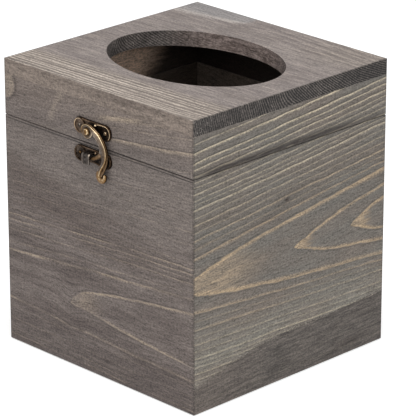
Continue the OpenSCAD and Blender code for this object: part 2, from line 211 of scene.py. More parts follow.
class Board(Finish):
    """A pine board's wood. along, across and deep are the millimetres along its grain, over its
    face and in from the face, each from an axis, a sign and a shift."""

    def __init__(self, name, along, across, deep, seed):
        super().__init__(bpy.data.materials.new(name))
        here = self.node("ShaderNodeTexCoord", None, None, "Object")
        self.normal = here.also("Normal")
        scale = {"operation": "SCALE"}
        scaled = self.node("ShaderNodeVectorMath", scale, {0: here, "Scale": PER_METRE})
        axes = self.node("ShaderNodeSeparateXYZ", None, {0: scaled}, "X")
        self.along, self.across, self.deep = (
            axes.also(axis) * sign + shift for axis, sign, shift in (along, across, deep))
        self.grain_axis, self.seed = along[0], seed

    def faces(self, axis):
        """How much the surface faces along an axis, from -1 to 1."""
        return self.node("ShaderNodeSeparateXYZ", None, {0: self.normal}, axis)

    def swell(self, amount):
        """The grain's wandering from a straight line: slow, with a smaller wave on it."""
        along, across, deep = self.along, self.across, self.deep
        slow = self.noise(self.vector(along * 0.022 + self.seed, across * 0.05, deep * 0.05))
        wave = self.noise(self.vector(along * 0.1, across * 0.13, deep * 0.13))
        return (wave * 0.45 + slow) * amount

    def saw(self, middle, slope, nest, lean):
        """Cuts the board from its log: the pith runs behind the face at a height, middle, that goes
        up by slope, and comes nearer to the face along the board as fast as nest says, which makes
        the rings nest. lean holds the height above which the grain tilts further, how much, and
        where along the board the tilt turns. Keeps flow, the height over the pith as the grain
        runs, and returns the distance to the pith, which depth adds to."""
        over = self.most(self.across - lean[0], 0)
        tilt = over * (self.along + lean[2]) * lean[1]
        off = self.across + self.swell(0.9) - self.along * slope - middle - tilt
        self.flow = off
        return self.root(off * off + (HALF - self.along) * nest + self.deep * 14)

    def rings(self, radius, table):
        """Growth lines at a distance from the pith, from -1 in the dark wood outside a line to 1 in
        its pale late wood. Each row of the table is (radius, fade inwards, strength)."""
        dark, plain = 0.4, 1.3
        found = 0
        for first in range(0, len(table), RINGS_A_RAMP):
            part = table[first:first + RINGS_A_RAMP]
            low, high = part[0][0] - part[0][1] - 1, part[-1][0] + 2
            stops = []
            for at, fade, strength in part:
                stops += [(at - fade, 0.5), (at - fade * 0.3, 0.5 + strength * 0.32),
                          (at, 0.5 + strength * 0.5), (at + dark, 0.5 - strength * 0.3),
                          (at + plain, 0.5)]
            places = [((at - low) / (high - low), level) for at, level in sorted(stops)]
            share = self.span(radius, low, high)
            line = self.node("ShaderNodeValToRGB", {"stops": places}, {"Fac": share})
            found = (line - 0.5) * 2 + found
        return found

    def nested(self, radius, nest, table, ragged=1):
        """The lines of the rings that close in a point on the face. Their widths are kept there:
        the distance from a line is the difference of the radii over the slope of the radius.
        ragged says how far the streaks tear the lines."""
        slope = self.root(self.flow * self.flow + nest * nest / 4) / radius
        found = 0
        for at, fade, strength in table:
            off = (radius - at) / slope + (self.middle * 0.5 + self.fuzz * 0.35) * ragged
            line = self.rise(off, -fade, -0.1) * self.rise(off, 0.45, -0.1)
            found = line * strength - self.bell(off, 0.9, 0.45) * (strength * 0.45) + found
        return found

    def streaks(self):
        """Streaks that run with the grain, in three sizes, dark pores, a fuzz of short fibres and
        the stain's clouds. Returns the streaks and the fuzz."""
        along, across, deep, seed = self.along, self.across, self.deep, self.seed

        def drawn(stretch, cross, shift):
            return self.vector(along * stretch + (seed + shift), self.flow * cross, deep * cross)
        self.fine = self.noise(drawn(0.13, 1.15, 0), 3, 0.7)
        self.middle = self.noise(drawn(0.05, 0.5, 31), 3, 0.6)
        self.broad = self.noise(drawn(0.016, 0.10, 67))
        self.pores = self.rise(self.noise(drawn(0.16, 1.25, 11), 1), -0.26, -0.6)
        self.fuzz = self.noise(self.vector(along * 0.72, across * 1.15, deep * 1.15), 1.5, 0.7)
        self.cloud = self.noise(self.vector(along * 0.03 + seed, across * 0.05, deep * 0.05))
        return self.fine, self.middle, self.broad, self.fuzz

    def lined(self, lines, ground, dark, pale):
        """The ground with its growth lines: towards one paint where they are positive, and towards
        another where they are negative."""
        return self.blend(lines, self.blend(-lines, ground, dark), pale)

    def cut_across(self):
        """1 on the ends of the board, where the fibres are cut across, and 0 on its long sides."""
        return self.rise(abs(self.faces(self.grain_axis)), 0.22, 0.9)

    def finish(self, colour, late, inside=None, grit=1,
               inner=(paint(58, 50, 45), paint(44, 36, 31))):
        """Ends the material. It adds the fibres, as strong as grit says, the dark pores and the
        stain's clouds, the dark line of the corner joints, and on inner faces two colours of
        painted light and shade, inner, under and over the seam. The late wood stands proud. inside
        is 1 on inner faces; left out, it is a wall's, which lies deep in the board and upright."""
        fibres = (self.fine * 0.42 + self.middle * 0.24 + self.fuzz * 0.62) * grit
        level = self.most(fibres + self.cloud * 0.06 + 1, 0.3) * (1 - self.pores * 0.34)
        colour = self.shaded(colour, level)
        corner = self.rise(abs(self.along), HALF - 1.3, HALF - 0.3) * (1 - self.cut_across())
        joint = self.graded(self.fuzz, 0.1, 0.5, (52, 47, 45), (150, 143, 134))
        colour = self.blend(corner * 0.6, colour, joint)
        if inside is None:
            upright = self.rise(abs(self.faces("Z")), 0.9, 0.5)
            inside = self.rise(self.deep, BOARD * 0.3, BOARD * 0.7) * upright
        # Painted light and shade on the inner faces: one colour under the seam and one over it
        inside_light_and_shade = self.blend(self.span(self.across, SEAM - 0.1, SEAM + 0.1), *inner)
        colour = self.blend(inside, colour, self.shaded(inside_light_and_shade, level))
        height = self.fine * 0.5 + self.middle * 0.4 + self.fuzz * 0.4 + late * 0.5 - self.pores
        roughness = self.fine * 0.05 + 0.66
        return self.close(colour, roughness, height, strength=0.5, distance=0.00015,
                          Specular_IOR_Level=0.3)


def right_pine():
    """Flat-sawn board: nested points of growth rings that open to the back, pale lines above them
    that rise to the back, a dark band along the foot and a dark streak at the seam."""
    wood = Board("pine_right", ("Y", 1, 0), ("Z", 1, 0), ("X", -1, HALF), seed=3)
    rise, bell, blend = wood.rise, wood.bell, wood.blend
    nest = 3.85
    radius = wood.saw(middle=76.2, slope=0.015, nest=nest, lean=(76, 0.0006, HALF))
    fine, middle, broad, fuzz = wood.streaks()
    along, up = wood.along, wood.across
    radius = radius + fuzz * 0.2 + middle * 0.25 - bell(wood.flow, 0, 2.6) * 0.85
    lines = wood.rings(radius, [
        (28.4, 1.1, 0.7), (31.5, 0.7, 0.35), (34.9, 1, 0.7), (38.3, 0.7, 0.35), (41.7, 0.9, 0.65),
        (45, 0.7, 0.45), (48.7, 1.1, 0.9), (51, 0.7, 0.5), (53.4, 0.8, 0.65), (56.6, 0.9, 0.75),
        (59.8, 0.8, 0.6), (62.6, 0.7, 0.6), (65.8, 0.9, 0.95), (69.3, 0.9, 0.9), (72.6, 1.1, 1.2),
        (77.9, 1.2, 1.2), (82.5, 0.8, 0.65), (87, 0.8, 0.7)])
    lines = wood.nested(radius, nest, [(9.3, 2.4, 0.9), (15.8, 2.2, 0.85), (24.3, 3, 0.95)]) + lines
    lines = lines * (1 - rise(wood.flow, -8, -26) * 0.3) * (broad * 0.35 + 0.95)
    # Pale wood that fills the nested points, most of all their tips
    ragged = along + middle * 9 + fuzz * 6
    fill = rise(radius, 24.3, 23.6) * rise(ragged + radius * 3, 44, 12)
    tip = rise(radius, 9.2, 8.8) * rise(ragged, 65, 56)
    point = rise(radius, 16, 15.5) * rise(ragged, 18, 9)
    solid = middle * 0.5 + fine * 0.35
    lines = wood.most(fill * (solid + 0.4), wood.most(tip, point) * (solid + 0.72)) + lines
    pale = wood.graded(radius, 26, 50, (182, 160, 132), (200, 187, 163))
    ground = wood.graded(up, 58, 30, (116, 112, 106), (130, 126, 118))
    dull = bell(up, 103, 14) * rise(broad + middle, -0.2, 0.5)
    ground = wood.washed(
        ground,
        (rise(broad, -0.5, 0.7) * 0.7, (125, 114, 105)),
        (dull * 0.5, (92, 86, 80)))
    colour = wood.lined(lines, ground, paint(68, 62, 57), pale)
    # The band along the foot, whose upper edge is softer at the front
    foot = wood.curve(along, 10, 35, [
        (-75, 17), (-50, 21.5), (-30, 26), (0, 28.2), (40, 29.2), (75, 31.5)])
    soft = rise(along, -75, 0, 3.2, 1)
    band = rise((up + middle * 1.6 + fuzz * 1.2 - foot) / soft, 0.9, -0.9)
    stain = wood.graded(middle + fine * 0.5, -0.6, 0.6, (74, 69, 66), (104, 97, 92))
    stain = blend(rise(along, -10, -75) * 0.4, stain, paint(120, 109, 102))
    colour = blend(band * 0.92, colour, stain)
    # The streak at the seam: dark wood, and the seam's painted shade
    seam = bell(up + middle * 0.6, 136.6, 2.2) * rise(along, 78, 15, 0.3, 1)
    seam = seam * rise(fine + fuzz * 0.6, -0.45, 0.15, 0.35, 1)
    seam = seam * rise(along, -72, -58, 0.45, 1)
    # A pin knot in its dark halo, and a smudge on the foot
    knot = bell(along, -4, 2.4) * bell(up + middle, 105.6, 1.4)
    halo = bell(along, -6, 14) * bell(up - along * 0.3, 106.5, 3.4)
    knot = wood.most(knot, halo * rise(fine, -0.3, 0.4) * 0.6)
    smudge = bell(along, 46, 11) * bell(up, 7, 2.4) * 0.4
    colour = wood.washed(colour, (seam, (50, 44, 42)), (wood.most(knot, smudge), (60, 50, 46)))
    return wood.finish(colour, lines, grit=1.35)


def front_pine():
    """Flat-sawn board with one round-nosed ring figure that opens to the right, streaks above it,
    the rim of a knot at its upper left and dark lines at the seam."""
    wood = Board("pine_front", ("X", 1, 0), ("Z", 1, 0), ("Y", 1, HALF), seed=47)
    rise, bell, blend = wood.rise, wood.bell, wood.blend
    along, up = wood.along, wood.across
    dip = bell(along, -23, 9) * bell(up, 38, 15)
    wood.across = up + dip * 3.4
    nest = 2.55
    radius = wood.saw(middle=42.2, slope=0.02, nest=nest, lean=(88, 0.0014, 0))
    fine, middle, broad, fuzz = wood.streaks()
    radius = radius + fuzz * 0.15 + middle * 0.2
    lines = wood.rings(radius, [
        (27.5, 0.8, 0.35), (33.3, 0.8, 0.5), (36, 0.6, 0.3), (38.4, 0.8, 0.6), (41.4, 1, 0.85),
        (44.5, 0.7, 0.35), (49, 0.7, 0.25), (54, 0.7, 0.32), (60.5, 0.8, 0.34), (68, 0.7, 0.2),
        (76, 0.7, 0.2), (90, 0.9, 0.2), (99.5, 2.2, 0.8), (106.5, 0.9, 0.3), (111, 1.4, 0.4)])
    lines = wood.nested(radius, nest, [(15.7, 1.9, 1), (24.2, 1.7, 0.85)], ragged=0.5) + lines
    # The lines come and go low down, and on the lid they show on the right only
    patchy = wood.noise(wood.vector(along * 0.03 + 5, wood.flow * 0.07, 0), 1)
    patchy = rise(patchy, -0.35, 0.35, 0.3, 1.1) * rise(wood.flow, -4, -22, 1, 0.45)
    on_lid = rise(along, -5, 25, 0.1, 1)
    lines = lines * wood.between(rise(radius, 60, 98), patchy, on_lid)
    tongue = rise(radius, 15.8, 15) * rise(along + middle * 7, 6, -15)
    lines = lines + tongue * (fine * 0.3 + 0.4)
    # The ground: darker at the foot, lighter on the right, above the middle and on the lid, with a
    # shade that slants across the middle
    ground = wood.graded(broad + middle * 0.4, -0.7, 0.7, (98, 88, 84), (126, 116, 111))
    right = rise(along, -20, 60) * rise(up, 40, 75)
    upper = rise(up, 85, 112) * rise(up, 150, 125)
    slant = up + along * 0.2
    shade = rise(slant, 104, 96) * rise(slant, 66, 84)
    ground = wood.washed(
        ground,
        (rise(up, 34, 4) * 0.6, (94, 85, 82)),
        (right * 0.4, (132, 122, 116)),
        (upper * 0.5, (128, 119, 113)),
        (shade * rise(along, 60, -30, 0.15, 0.5), (92, 81, 76)),
        (rise(up, 136, 158) * 0.7, (133, 121, 113)))
    colour = wood.lined(lines, ground, paint(64, 57, 54), paint(172, 156, 138))
    # On the lid: the knot's rim, the swirl beside it and a pale streak
    aside, above = along + 77, up - 153
    rim = wood.root(aside * aside + above * above * 1.5) + middle * 0.8
    swirl = bell(along + 33 - (up - 150) * 0.42 + broad * 3, 0, 2.4)
    swirl = swirl * rise(up, 137, 145) * rise(up, 163, 157)
    streak = bell(up - (along - 8) * 0.19 + middle * 0.7, 152.8, 1.4)
    streak = streak * rise(along, -2, 10) * rise(along, 42, 26)
    streak = streak * rise(fine, -0.5, 0.3, 0.4, 0.8)
    # Dark lines: the seam's painted shade on the seam and a line under it, and two small pits near
    # the foot
    below = bell(up + middle * 0.12, SEAM - 1.45, 0.34)
    seam = wood.most(bell(up, SEAM, 0.5) * rise(along, -70, 20, 0.3, 0.85), below)
    seam = seam * rise(middle + broad * 0.5, -0.6, 0.3, 0.65, 0.95)
    pit = wood.most(bell(along, 7, 4) * bell(up + middle, 11, 0.9),
                    bell(along, -15, 2.5) * bell(up + middle, 23, 0.7) * 0.7)
    colour = wood.washed(
        colour,
        (rise(rim, 11.5, 9.8) * 0.7, (156, 142, 128)),
        (bell(rim, 12, 0.9) * 0.6, (76, 68, 64)),
        (swirl * 0.45, (158, 145, 132)),
        (streak, (170, 154, 136)),
        (seam, (38, 33, 32)),
        (pit * 0.6, (52, 45, 43)))
    return wood.finish(colour, lines, grit=1.4)


def plain_pine(name, along, deep, seed, middle, nest, rings, grounds, inner):
    """A wall that the photograph doesn't show: the same stained pine with a figure of its own. Each
    row of rings is (radius, strength). grounds are the outside's two stains, and inner are the
    inside's painted light and shade, under and over the seam."""
    wood = Board(name, along, ("Z", 1, 0), deep, seed)
    radius = wood.saw(middle, slope=0.018, nest=nest, lean=(middle, 0.0005, HALF))
    wood.streaks()
    lines = wood.nested(radius, nest, [(at, 0.9 + 5 / at, level) for at, level in rings if at < 25])
    wide = wood.rings(radius, [(at, 0.9, level) for at, level in rings if at > 25])
    lines = wide * (wood.broad * 0.25 + 0.9) + lines
    ground = wood.graded(wood.broad, -0.6, 0.7, *grounds)
    # Over the seam a painted shadow darkens the inside along a slant towards one corner
    clear = wood.rise(wood.along + wood.middle * 5 + wood.across, 100, 128)
    inner = (inner[0], wood.blend(clear, paint(54, 46, 41), inner[1]))
    colour = wood.lined(lines, ground, paint(76, 70, 66), paint(174, 157, 132))
    return wood.finish(colour, lines, grit=1.2, inner=inner)


def top_pine():
    """Board whose rings stand upright at the front, as straight stripes, and lie flat at the back,
    where one ends in a wavy edge. Its ends and the ends of its oval are dark, hatched by the
    rings, and its front edge is stained like the rail under it."""
    wood = Board("pine_top", ("X", 1, 0), ("Y", 1, 0), ("Z", -1, HEIGHT), seed=91)
    rise, bell, blend = wood.rise, wood.bell, wood.blend
    along, up = wood.along, wood.across
    off = up + wood.swell(1.2) - along * 0.035 - 96
    wood.flow = off
    sunk = wood.deep + 48
    radius = wood.root(off * off + sunk * sunk)
    fine, middle, broad, fuzz = wood.streaks()
    front = rise(up - along * 0.035, -45, -53)
    drift = wood.noise(wood.vector(radius * 0.35, along * 0.006, 3), 1)
    stripes = wood.maths("SINE", radius * 2.35 + drift * 4 + fuzz)
    stripes = stripes * rise(broad + middle * 0.6, -0.8, 0.6, 0.35, 0.85)
    faint = wood.maths("SINE", (up + along * 0.1) * 1.3 + middle * 2.5 + broad * 5)
    faint = faint * rise(up, 35, 60) * rise(along, -30, 30, 0.1, 0.4)
    lines = wood.between(front, faint + middle * 0.75, stripes + fine * 0.5 + 0.05)
    ground = wood.graded(broad, -0.7, 0.7, (116, 107, 104), (133, 124, 119))
    corner = rise(up, 30, 60) * rise(along, 20, 50)
    ground = wood.washed(
        ground,
        (corner * 0.4, (134, 125, 114)),
        (rise(wood.cloud, -0.05, 0.4) * 0.6, (104, 95, 91)),
        (front, (132, 122, 114)))
    dark = blend(front, paint(92, 82, 78), paint(96, 87, 81))
    pale = blend(front, paint(158, 146, 136), paint(186, 174, 162))
    colour = wood.lined(lines, ground, dark, pale)
    # The flat ring at the back left: grey, with a pale rim along its wavy edge
    wavy = wood.root((-along - 24) * 1.9 + broad * 6 + 2)
    edge = up - 66.5 + wavy + middle * 1.4 + fuzz * 0.5
    within = rise(edge, -0.8, 0.8) * rise(along, -22, -27)
    grey = wood.graded(middle, -0.5, 0.5, (122, 120, 121), (140, 136, 134))
    colour = blend(within * 0.75, colour, grey)
    rim = bell(edge, -0.8, 2.4) * rise(along, -20, -32)
    colour = blend(rim * 0.75, colour, paint(172, 164, 158))
    # The front edge, and the far side of the oval's wall
    facing = wood.faces("Y")
    rail = wood.graded(broad + middle * 0.4, -0.6, 0.6, (118, 106, 98), (144, 131, 121))
    colour = blend(rise(facing, -0.6, -0.85), colour, rail)
    bored = wood.graded(middle + fine, -0.5, 0.5, (118, 104, 98), (155, 140, 134))
    colour = blend(rise(facing, -0.4, -0.7) * rise(up, 20, 30), colour, bored)
    # End grain: a fine hatch of rings that leans over at the back, deeper on the board's ends than
    # in its oval, and pale flecks near the front. Painted light makes the oval's end grain 1.8
    # times as light as the board's ends.
    lean = wood.deep * rise(up, -12, 8, 0, 0.65)
    hatch = (radius + lean) * 3.2 + off * off * 0.004 + wood.cloud * 5 + fuzz * 0.8
    hatch = wood.maths("SINE", hatch) * rise(up, -50, 10, 0.5, 0.8)
    outside = rise(abs(along), 62, 70)
    cut = (hatch + fuzz * 0.95 + fine * 0.35) * wood.span(outside, 0, 1, 0.85, 1.6)
    level = 1 - outside * rise(up, -30, 5, 0, 0.06)
    level = wood.span(outside, 0, 1, 1.8, 0.98) * level
    ends = wood.graded(broad, -0.5, 0.5, (56, 52, 50), (75, 70, 67))
    ends = wood.shaded(ends, wood.most(cut + 1, 0.15) * level)
    speck = wood.noise(wood.vector(along * 0.9, up * 0.9, wood.deep * 0.9), 3, 0.8)
    speck = rise(speck, 0.12, 0.5) * rise(up, -45, -72, 0.06, 1)
    ends = blend(speck * 0.7, ends, paint(176, 172, 164))
    colour = blend(wood.cut_across(), colour, ends)
    # Dark wood in the eased edge over the front rail
    arris = bell(up, 0.3 - HALF, 0.6) * bell(wood.deep, 0.2, 0.7)
    arris = arris * rise(middle + fuzz * 0.5, 0.05, 0.5)
    colour = blend(arris * 0.8, colour, paint(42, 36, 34))
    inside = rise(wood.faces("Z"), -0.4, -0.8)
    return wood.finish(colour, lines, inside, grit=1.2 - wood.cut_across() * 0.2)


def base_pine():
    """The panel under the box: plain stained pine."""
    wood = Board("pine_base", ("X", 1, 0), ("Y", 1, 0), ("Z", 0, 0), seed=23)
    radius = wood.saw(middle=8, slope=0.02, nest=3, lean=(10, 0.0005, HALF))
    wood.streaks()
    lines = wood.rings(radius, [
        (9, 1.6, 0.6), (15.5, 1.2, 0.5), (22, 1, 0.5), (28, 1, 0.4), (34, 0.9, 0.4),
        (41, 0.8, 0.4), (49, 0.8, 0.4), (58, 0.8, 0.4)])
    colour = wood.lined(lines, paint(112, 103, 97), paint(74, 68, 64), paint(160, 142, 118))
    return wood.finish(colour, lines)


def bronze(name, dark, middle, bright, made_here=True):
    """Aged bronze: dark patina in the hollows, golden where the wear, an attribute of the mesh that
    also carries painted highlights, is high, and greyer where another, a painted sheen, is high.
    On a CAD part, which has neither, both are even."""
    metal = Finish(bpy.data.materials.new(name))
    here = metal.node("ShaderNodeTexCoord", None, None, "Object")
    mottle = metal.noise(here, 3, 0.6, scale=1100)
    cloud = metal.noise(here, scale=260)
    highlighted_wear, bloom = 0.42, 0.15
    if made_here:
        highlighted_wear, bloom = (metal.node("ShaderNodeAttribute", {"attribute_name": key}, None, "Fac")
                       for key in ("wear", "bloom"))
    level = mottle * 0.27 + cloud * 0.16 + highlighted_wear
    colour = metal.blend(metal.span(level, 0, 0.5), paint(*dark), paint(*middle))
    colour = metal.blend(metal.span(level, 0.5, 1), colour, paint(*bright))
    # The grey that the painted sheen mixes in
    grey = metal.blend(metal.span(level, 0, 1), paint(24, 21, 20), paint(170, 160, 152))
    colour = metal.blend(cloud * 0.3 + mottle * 0.15 + bloom, colour, grey)
    roughness = metal.span(level, 0, 1, 0.50, 0.22)
    return metal.close(colour, roughness, mottle, strength=0.25, distance=0.00004, Metallic=1)


PINE_RIGHT = right_pine()
PINE_FRONT = front_pine()
PINE_TOP = top_pine()
PINE_BASE = base_pine()
PINE_LEFT = plain_pine(
    "pine_left", ("Y", -1, 0), ("X", 1, HALF), seed=140, middle=61, nest=3.2,
    rings=[(9, 0.8), (15.2, 0.7), (21.5, 0.75), (27, 0.5), (32, 0.5), (37, 0.45), (41.5, 0.5),
     (46.5, 0.4), (51, 0.5), (56, 0.45), (62, 0.55), (69, 0.5), (76, 0.6), (84, 0.6),
     (93, 0.5), (101, 0.5)],
    grounds=((110, 104, 98), (122, 115, 107)),
    # The inside's painted light and shade: darker under the seam, a lit tan over it
    inner=(paint(84, 74, 66), paint(212, 184, 163)))
PINE_BACK = plain_pine(
    "pine_back", ("X", -1, 0), ("Y", -1, HALF), seed=210, middle=98, nest=2.6,
    rings=[(8, 0.6), (14.5, 0.6), (20, 0.5), (26.5, 0.5), (32.5, 0.4), (38, 0.45), (44.5, 0.35),
     (50, 0.4), (57, 0.35), (64, 0.4), (72, 0.35), (81, 0.45), (90, 0.4), (100, 0.4)],
    grounds=((105, 96, 91), (119, 109, 104)),
    # The inside's painted light and shade: lighter under the seam, dark over it
    inner=(paint(126, 114, 104), paint(52, 44, 40)))
BRONZE_ARM = bronze("bronze_arm", (27, 18, 11), (124, 94, 59), (255, 231, 188))
BRONZE_PLATE = bronze("bronze_plate", (21, 15, 11), (110, 84, 60), (242, 216, 178))
BRONZE_LEAF = bronze("bronze_leaf", (30, 23, 16), (96, 76, 50), (196, 166, 112), made_here=False)
BRONZE_PIN = bronze("bronze_pin", (58, 45, 30), (156, 126, 84), (236, 208, 156), made_here=False)


def dress(material, *names):
    """Puts a material on CAD parts that keep their own shape."""
    for name in names:
        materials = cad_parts[name].data.materials
        materials.clear()
        materials.append(material)


dress(PINE_RIGHT, "right_panel", "lid_right_rail")
dress(PINE_FRONT, "front_panel", "lid_front_rail")
dress(PINE_LEFT, "left_panel", "lid_left_rail")
dress(PINE_BACK, "back_panel", "lid_back_rail")
dress(PINE_TOP, "top_board")
dress(PINE_BASE, "base_panel")
dress(BRONZE_LEAF, "hinge_left_box_leaf", "hinge_left_lid_leaf",
      "hinge_right_box_leaf", "hinge_right_lid_leaf")
dress(BRONZE_PIN, "hinge_left_pin", "hinge_right_pin", "hinge_box_nails", "hinge_lid_nails")


# Latch. Its shapes are worked out flat: across and up from a point on the seam, 2.2 mm to the left
# of its middle, and out from the wood

LATCH_X = -2.2
PIVOT = np.array((-2.4, 7.79, 0.0))
PLATE_W, PLATE_R, PLATE_T = 29.2, 4.7, 0.9  # a plate's width, its ends' radius and its thickness
LID_PLATE_Y, CATCH_PLATE_Y, NAIL_X = 9.2, -6.6, 10.2
ARM_BASE, ARM_EDGE, CREST = 1.85, 2.95, 0.9  # the arm's back, its edges and the crest above them
RIVET_BASE = 3.083
TOOTH_R = 15.1

# Profiles of turned shapes, in rows of the radius, the height above a base and the wear, which
# on the ball also carries a painted glint
NAIL_HEAD = [
    (0.03, 0.16, 0), (0.2, 0.18, 0.05), (0.42, 0.4, 0.3), (0.6, 0.52, 0.8), (0.85, 0.46, 1),
    (1.05, 0.3, 0.6), (1.2, 0.12, 0.2), (1.25, 0, 0.1), (1.2, -0.1, 0.1)]
BALL = [(0.05, 0.68, 1), (0.35, 0.6, 1), (0.62, 0.38, 0.9), (0.75, 0.05, 0.3), (0.65, -0.3, 0.1)]
EYE = [
    (0.1, 0.95, 0.1), (2.6, 0.95, 0.12), (3.4, 1, 0.3), (3.8, 1.1, 0.7), (3.98, 0.95, 0.8),
    (4.1, 0.7, 0.3), (4.05, 0.3, 0.1), (3.9, 0.2, 0.1), (0.1, 0.2, 0.1)]
COLLAR = [(1.2, 1, 0.15), (2.1, 1, 0.15), (2.1, 2.1, 0.15), (1.2, 2.1, 0.15)]
CURL_FLOOR = [
    (0.1, 2.55, 0.06), (1.7, 2.55, 0.06), (2, 2.4, 0.06), (2, 2.1, 0.06), (0.1, 2.1, 0.06)]
RIVET = [
    (0.05, 1.3, 0.3), (0.7, 1.24, 0.34), (1.25, 1.02, 0.6), (1.6, 0.75, 0.85), (1.78, 0.45, 0.4),
    (1.86, 0.3, 0.05), (2.2, 0.27, 0.3), (2.38, 0.14, 0.2), (2.4, 0, 0.1), (1.05, 0, 0.1),
    (1.05, -2.2, 0.1)]


class Skin:
    """The vertices, faces, wear with painted highlights and painted sheen of a piece, which grows
    shell by shell.
    """

    def __init__(self):
        self.points, self.wear, self.bloom, self.faces, self.count = [], [], [], [], 0

    def add(self, rings, wear, bloom=0.0):
        """A closed skin over rings of points, an array (ring, point, 3): quads join neighbouring
        rings, and one face closes each end. The faces are turned over if they point inwards, which
        the sign of their volume tells."""
        rows, sides = rings.shape[:2]
        at = np.arange(rows * sides).reshape(rows, sides)
        low, high = at[:-1], at[1:]
        quads = np.stack([low, np.roll(low, -1, 1), np.roll(high, -1, 1), high], -1).reshape(-1, 4)
        points = rings.reshape(-1, 3)
        a, b, c, d = points[quads].transpose(1, 0, 2)
        volume = np.sum(a * (np.cross(b, c) + np.cross(c, d)))
        ends = [at[0][::-1], at[-1]]
        for end in ends:
            loop = points[end]
            volume += np.sum(loop.mean(0) * np.cross(loop, np.roll(loop, -1, 0)))
        if volume < 0:
            quads, ends = quads[:, ::-1], [end[::-1] for end in ends]
        self.points.append(points)
        self.wear.append(np.broadcast_to(wear, (rows, sides)).ravel())
        self.bloom.append(np.broadcast_to(bloom, (rows, sides)).ravel())
        self.faces += (quads + self.count).tolist() + [(end + self.count).tolist() for end in ends]
        self.count += len(points)

    def piece(self, name, node, material, slot, body):
        """Makes the piece on the front of the box, in the place of a CAD part."""
        across, up, out = np.vstack(self.points).T
        places = np.stack([LATCH_X + across, -HALF - out, SEAM + up], -1) / PER_METRE
        mesh = bpy.data.meshes.new(name)
        mesh.from_pydata(places.tolist(), [], self.faces)
        for key, values in (("wear", self.wear), ("bloom", self.bloom)):
            field = mesh.attributes.new(key, "FLOAT", "POINT")
            field.data.foreach_set("value", np.concatenate(values))
        mesh.polygons.foreach_set("use_smooth", np.ones(len(mesh.polygons), bool))
        mesh.set_sharp_from_angle(angle=math.radians(48))
        mesh.materials.append(material)
        made = bpy.data.objects.new(name, mesh)
        bpy.context.scene.collection.objects.link(made)
        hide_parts(node)
        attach(made, body)


def smooth(rows, steps):
    """A Catmull-Rom curve through rows of numbers: between two rows runs the cubic that has, at
    each of them, the slope of the line between that row's neighbours."""
    rows = np.array(rows, float)
    rows = np.vstack([rows[:1], rows, rows[-1:]])
    a, b, c, d = rows[:-3, None], rows[1:-2, None], rows[2:-1, None], rows[3:, None]
    t = np.linspace(0, 1, steps, endpoint=False)[None, :, None]
    square, cube = 2 * a - 5 * b + 4 * c - d, 3 * b - a - 3 * c + d
    cubic = b + (c - a) * t / 2 + square * t**2 / 2 + cube * t**3 / 2
    return np.vstack([cubic.reshape(-1, rows.shape[1]), rows[-1:]])


def lengthways(path):
    """Unit vectors along a path, and its length up to each point."""
    step = np.gradient(path, axis=0)
    run = np.concatenate([[0], np.cumsum(np.linalg.norm(np.diff(path, axis=0), axis=1))])
    return step / np.linalg.norm(step, axis=1, keepdims=True), run


def rounded(left, radius):
    """1 far from an end, and falling as a quarter circle of that radius to almost 0 at the end."""
    return np.sqrt(1 - np.clip(1 - (left + 0.01) / radius, 0, 1) ** 2)


def bead(skin, path, radius, wear, bloom, outer):
    """A round bar along a path, sunk by half: at each point, a circle across the path, whose radius
    falls as a quarter circle towards both ends. The wear carries a painted highlight: a bell over
    the circle's angle, about an angle inside the top. outer is 1 if the outer side is on the path's
    right, or else -1."""
    way, run = lengthways(path)
    radius = np.broadcast_to(radius, len(path)).astype(float)
    radius = radius * rounded(np.minimum(run, run[-1] - run), radius)
    side = np.cross(way, (0, 0, outer))
    turn = np.linspace(0, math.tau, 20, endpoint=False)
    cos, sin = np.cos(turn)[None, :, None], np.sin(turn)[None, :, None]
    up = np.array((0, 0, 1.0))
    rings = path[:, None] + radius[:, None, None] * (cos * side[:, None] + sin * up)
    highlight_turn, spread = math.radians(112), math.radians(38)
    off = (turn - highlight_turn) / spread
    shine = np.exp(-off * off)[None, :] * np.broadcast_to(wear, len(path))[:, None]
    skin.add(rings, 0.08 + shine, bloom)


def arc(middle, radius, start, stop, out, count=40):
    """Points on an arc about a middle, from one angle to another in degrees."""
    angle = np.radians(np.linspace(start, stop, count))
    return np.stack([middle[0] + radius * np.cos(angle), middle[1] + radius * np.sin(angle),
                     np.full(count, out)], -1)


def turned(middle, base, profile, sides=48):
    """A profile turned about an axis that stands on the wood. Returns its rings and their wear."""
    angle = np.linspace(0, math.tau, sides, endpoint=False)[None, :]
    radius, height, wear = np.array(profile, float).T[:, :, None]
    return np.stack([middle[0] + radius * np.cos(angle), middle[1] + radius * np.sin(angle),
                     base + height + 0 * angle], -1), wear


